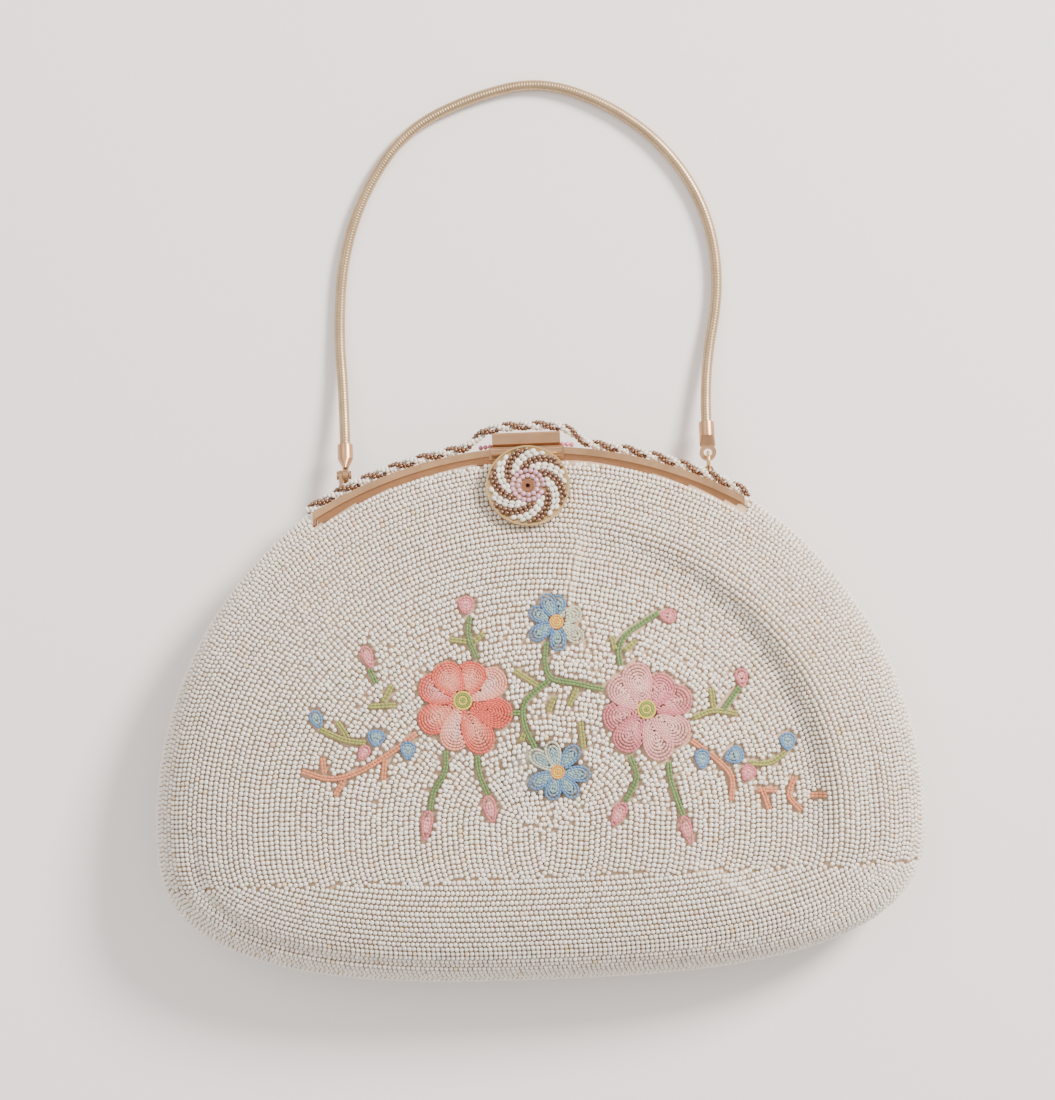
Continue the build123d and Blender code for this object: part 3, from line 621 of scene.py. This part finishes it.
def near_flowers(x, y):
    """1 in the middle of the spray, where the beads are sewn less evenly."""
    return np.exp(-((x / 58) ** 4 + ((y + 4) / 30) ** 4))


grid_x, grid_y = np.meshgrid(np.arange(-102, 102, 0.55), np.arange(-75, 68, 0.55))
inner = share_and_angle(grid_x, grid_y)[0] < 0.97
fill_places = np.c_[grid_x[inner], grid_y[inner]]


def bead_side(name, height, side, node):
    """All beads of one side, in a few pieces that stay light enough."""
    room = Room()
    if side > 0:
        for rows in stitches.values():
            x, y = np.array(rows)[:, :2].T
            for point in np.c_[x, y, front_z(x, y)].tolist():
                room.add(point, 0)
    kept = []
    for here, direction in bead_rows(height, side):
        loose = near_flowers(here[0], here[1]) if side > 0 else 0
        here = here + np.r_[chance.normal(0, 0.04 + 0.10 * loose, 2), 0]
        if not in_frame(here[0], here[1], nearest_frame) and room.add(here, nearest_bead):
            kept.append((*here, *direction, loose))
    fill_x, fill_y = fill_places.T
    places = np.c_[fill_places, height(fill_x, fill_y)]
    for x, y, z in places[~in_frame(fill_x, fill_y, nearest_frame)].tolist():
        if room.add((x, y, z), nearest_filler):
            kept.append((x, y, z, 1.0, 0.0, 0.0, near_flowers(x, y)))
    kept = np.array(kept)
    normal = normals_at(height, kept[:, 0], kept[:, 1], side)
    shades = np.array([0.86, 0.80, 0.715]) * chance.normal(1, 0.05, (len(kept), 1))
    shades = shades * (1 + kept[:, 6:7] * 0.05) + chance.normal(0, 0.012, (len(kept), 3))
    yellowed = chance.random(len(kept)) < 0.02
    shades[yellowed] *= (0.97, 0.84, 0.66)
    across, high = np.full(len(kept), bead_across), np.full(len(kept), bead_high)
    sizes = np.c_[across, high, bead_long - 0.02 * kept[:, 6]]
    sizes = sizes * chance.normal(1, 0.035, (len(kept), 1))
    centres = kept[:, :3] + normal * bead_seat
    for label, chosen in zones(kept[:, 0], kept[:, 1]):
        bends = label == "mouth" and side > 0
        piece = repeated(f"{name}_{label}", small_bead, centres[chosen], kept[chosen, 3:6], normal[chosen],
                         sizes[chosen], np.clip(shades[chosen], 0, 1), None if bends else "back_half",
                         looks["white"])
        if bends:
            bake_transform(piece)
    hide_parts(node)
    print(name, len(kept), "beads")


def zones(x, y):
    """Split by place, so that no piece is too heavy."""
    mouth = y > blend_from
    left, right = x < -middle_half, x > middle_half
    middle = ~left & ~right
    return (("left", ~mouth & left), ("middle", ~mouth & middle), ("right", ~mouth & right), ("mouth", mouth))


bead_side("front_beads", front_z, 1, "front_panel")
bead_side("back_beads", back_z, -1, "back_panel")

# %% [markdown]
# The ground cloth lies just under the beads and shows, tan, in the gaps between them.


# %%
ground_share, ground_sink, ground_thickness = 0.997, 0.35, 0.7


def ground(name, height, side):
    """The ground cloth of one side, in rings from the middle out."""
    around = np.linspace(0, 2 * pi, 181)[:-1]
    shares = np.linspace(0, 1, 70) ** 0.55
    points, faces = [(0.0, widest_y + crest_shift)], []
    for share in shares[1:]:
        middle = widest_y + (1 - share) * crest_shift
        across, up = share * reach(around) * np.cos(around), share * reach(around) * np.sin(around)
        points += list(zip(across * ground_share, middle + up * ground_share))
    points = np.array(points)
    sunk = np.c_[points, height(points[:, 0], points[:, 1]) - side * ground_sink]
    count = len(around)
    for ring in range(len(shares) - 2):
        for k in range(count):
            a, b = 1 + ring * count + k, 1 + ring * count + (k + 1) % count
            faces.append((a, a + count, b + count, b))
    faces = [f if side > 0 else f[::-1] for f in faces if not in_frame(*points[f[0]], 0.2)]
    piece = mesh_piece(name, sunk, np.array(faces), None, looks["ground"])
    bpy.context.view_layer.objects.active = piece
    thick = piece.modifiers.new("thickness", "SOLIDIFY")
    thick.thickness = ground_thickness * mm
    bpy.ops.object.modifier_apply(modifier=thick.name)
    if side > 0:
        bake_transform(piece)
    else:
        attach(piece, "back_half")


ground("front_ground", front_z, 1)
ground("back_ground", back_z, -1)

# %% [markdown]
# ## Rope, medallion and loose pink beads


# %%
rope_sweep, rope_clear, rope_level, rope_lay = 30.5, 1.5, 12.5, 8.0
lift_out, lift_half = 4.45, 14.0
pink_radius, pink_level = 118.9, 12.7
clasp_tilt, medallion_reach, medallion_rise = -16, 10.25, 1.5
pinwheel_arms, arm_start, arm_run, medallion_level = 6, 5.5, 4.9, 1.6


def bead_string(name, path, colours, size, body, look, node, normal=(0, 0, 1)):
    """Beads threaded along a path, a bead's length apart."""
    path = np.array(path)
    walked = np.r_[0, np.cumsum(np.linalg.norm(np.diff(path, axis=0), axis=1))]
    at = np.arange(0, walked[-1], size[2] * 0.98)
    here, direction = along_line(at, walked, path, 0.3)
    shade = np.array(colours) * chance.normal(1, 0.09, (len(here), 1))
    up = np.broadcast_to(np.array(normal, float), here.shape)
    tints = np.clip(shade, 0, 1)
    piece = repeated(name, round_bead, here, direction, up, np.array(size), tints, body, look)
    if node:
        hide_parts(node)


def rope_path(phase, offset=0.85):
    """Line of one strand, twisted round the rope and lifted behind the clasp."""
    angles = np.radians(np.linspace(-rope_sweep, rope_sweep, 900))
    lift = lift_out * np.exp(-(frame_outer * np.sin(angles) / lift_half) ** 6)
    turn = 2 * pi * frame_outer * angles / rope_lay + phase
    radius = frame_outer + rope_clear + lift + offset * np.cos(turn)
    return np.c_[radius * np.sin(angles), arch_y + radius * np.cos(angles), rope_level + offset * np.sin(turn)]


white, bronze, clear_pink = (0.80, 0.76, 0.68), (0.20, 0.10, 0.055), (0.62, 0.20, 0.30)
for strand, phase in enumerate((0.0, 0.85)):
    bead_string(f"rope_white_{strand}", rope_path(phase), white, (1.3, 1.3, 1.25),
                "back_half", looks["white"], None if strand else "rope_white_beads")
    bead_string(f"rope_bronze_{strand}", rope_path(phase + pi), bronze, (1.25, 1.25, 1.2),
                "back_half", looks["bronze"], None if strand else "rope_bronze_beads")
for side in (-1, 1):
    angles = np.radians(side * np.linspace(4.8, 6.6, 12))
    across, up = pink_radius * np.sin(angles), pink_radius * np.cos(angles)
    path = np.c_[across, arch_y + up, np.full(12, pink_level)]
    bead_string(f"rope_pink_{side + 1}", path, clear_pink, (1.4, 1.4, 1.3), "back_half", looks["pink"],
                "rope_pink_beads" if side < 0 else None)

knuckle = Matrix.Translation((0, 67.0, 20.1))
tilt = Matrix.Rotation(radians(clasp_tilt), 4, "X")
clasp = knuckle @ tilt @ Matrix.Translation((0, -medallion_reach, medallion_rise))
clasp_turn = np.array(clasp.to_3x3())
clasp_place = np.array(clasp.translation)
face = tuple(clasp_turn @ (0, 0, 1))


def on_medallion(points):
    """Points drawn flat round the origin, laid on the medallion."""
    return np.array(points) @ clasp_turn.T + clasp_place


def arm_path(start, sweep=62.0):
    """Line of one pinwheel arm, from the pink beads out to the rim."""
    share = np.linspace(0, 1, 30)
    radius = arm_start + arm_run * share
    angle = np.radians(start - sweep * share)
    return on_medallion(np.c_[radius * np.cos(angle), radius * np.sin(angle), np.full(30, medallion_level)])


for arm in range(pinwheel_arms):
    for row in range(2):
        first = arm + row == 0
        white_path, bronze_path = arm_path(60 * arm + 15 * row), arm_path(60 * arm + 31 + 14 * row)
        bead_string(f"medallion_white_{arm}{row}", white_path, white, (1.35, 1.3, 1.75),
                    "clasp", looks["white"], "medallion_white_beads" if first else None, face)
        bead_string(f"medallion_bronze_{arm}{row}", bronze_path, bronze, (1.3, 1.2, 1.4),
                    "clasp", looks["bronze"], "medallion_bronze_beads" if first else None, face)
for ring, radius in enumerate((2.7, 4.2)):
    around = np.linspace(0, 2 * pi * (1 - 0.9 / (2 * pi * radius)), 60)
    circle = np.c_[radius * np.cos(around), radius * np.sin(around), np.full(60, medallion_level)]
    path = on_medallion(circle)
    bead_string(f"medallion_pink_{ring}", path, (0.60, 0.33, 0.42), (1.4, 1.3, 1.45),
                "clasp", looks["pink"], None if ring else "medallion_pink_beads", face)

# %% [markdown]
# ## Snake chain
# The same route as the solid, as one smooth cord, with overlapping plates along it.

# %%
droop = radians(12)
pivot_y, pivot_z = 63.0, 8.5
along_caps = ((-50, 8.6), (-50, 22.6), (50, 25.1), (50, 11.1))
exits = [(x, pivot_y + far * cos(droop), pivot_z - far * sin(droop)) for x, far in along_caps]
loop = [
    (-50.9, 103.0, 1.6), (-48.9, 124.0, 1.6), (-42.0, 142.5, 1.6), (-30.0, 158.5, 1.6), (-12.0, 166.8, 1.6),
    (7.5, 170.9, 1.6), (27.0, 163.3, 1.6), (42.5, 150.6, 1.6), (52.8, 133.0, 1.6), (55.6, 112.0, 1.6),
]
route = exits[:2] + loop + exits[2:]
curve = bpy.data.curves.new("chain_core", "CURVE")
curve.dimensions = "3D"
curve.resolution_u = 12
spline = curve.splines.new("NURBS")
spline.points.add(len(route) - 1)
for point, place in zip(spline.points, route):
    point.co = (*(v * mm for v in place), 1)
spline.order_u = 3
spline.use_endpoint_u = True
core = bpy.data.objects.new("chain_core", curve)
bpy.context.collection.objects.link(core)
bare = bpy.data.meshes.new_from_object(core)
line = np.array([v.co for v in bare.vertices]) / mm
core_radius = 1.4
curve.bevel_depth = core_radius * mm
curve.bevel_resolution = 3
curve.materials.append(looks["chain"])
walked = np.r_[0, np.cumsum(np.linalg.norm(np.diff(line, axis=0), axis=1))]
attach(core, "handle")

plate_pitch = 0.77
at = np.arange(0.4, walked[-1] - 0.3, plate_pitch)
here, direction = along_line(at, walked, line, 0.5)
up = np.broadcast_to(np.array([0.0, 0.0, 1.0]), here.shape)
along = direction / np.linalg.norm(direction, axis=1, keepdims=True)
up = up - along * (up * along).sum(1, keepdims=True)
up /= np.linalg.norm(up, axis=1, keepdims=True)
plates = repeated("chain_plates", modelled(14, 6), here, along, up, np.array([3.06, 3.06, 1.0]),
                  np.ones((len(here), 3)), "handle", looks["chain"])
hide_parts("chain")
tuple(v * mm for v in route[0])

# %% [markdown]
# ## Metal, lining, floor, light and camera

# %%
finishes = {
    "frame": ("front_frame", "back_frame"),
    "gilt": (
        "catch_bar", "clasp_hinge_plate", "clasp_pin", "clasp_leaf", "handle_ear_left", "handle_ear_right",
        "chain_cap_left", "chain_cap_right", "handle_rivet", "hinge_rivet_left", "hinge_rivet_right",
    ),
    "bright": ("handle_ring", "medallion_disc"),
    "copper": ("medallion_eyelet",),
    "lining": ("front_lining", "back_lining"),
}
for look, nodes in finishes.items():
    for node in nodes:
        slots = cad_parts[node].data.materials
        slots.clear()
        slots.append(looks[look])

bpy.ops.mesh.primitive_plane_add(size=6, location=(0, 0, -0.0002))
floor = bpy.context.object
floor.name = "floor"
paper = Look("paper")
shade = paper.mix(paper.noise(3) * 0.2, (0.95, 0.905, 0.875), (0.93, 0.875, 0.84))
floor.data.materials.append(paper.finish(shade, paper.noise(40) * 0.1 + 0.8))


def lamp(name, place, size, power, colour):
    """A round soft light, aimed at the bag."""
    light = bpy.data.lights.new(name, "AREA")
    light.shape, light.size, light.energy, light.color = "DISK", size, power, colour
    made = bpy.data.objects.new(name, light)
    made.location = place
    made.rotation_euler = (-Vector(place)).to_track_quat("-Z", "Y").to_euler()
    bpy.context.collection.objects.link(made)


lamp("key", (0.95, 0.80, 0.85), 0.45, 48, (1.0, 0.95, 0.90))
lamp("fill", (-0.7, 0.5, 1.4), 1.2, 7, (1.0, 0.95, 0.93))
world = bpy.data.worlds.new("studio")
world.use_nodes = True
world.node_tree.nodes["Background"].inputs[0].default_value = (1.0, 0.965, 0.94, 1)
world.node_tree.nodes["Background"].inputs[1].default_value = 1.0
bpy.context.scene.world = world

camera_data = bpy.data.cameras.new("camera")
camera_data.lens = 100
camera = bpy.data.objects.new("camera", camera_data)
camera_height = 0.831 + 0.02
camera.location = (-0.76 * mm, 40.5 * mm, camera_height)
camera.rotation_euler = (0, 0, radians(-2.2))
bpy.context.collection.objects.link(camera)
bpy.context.scene.camera = camera
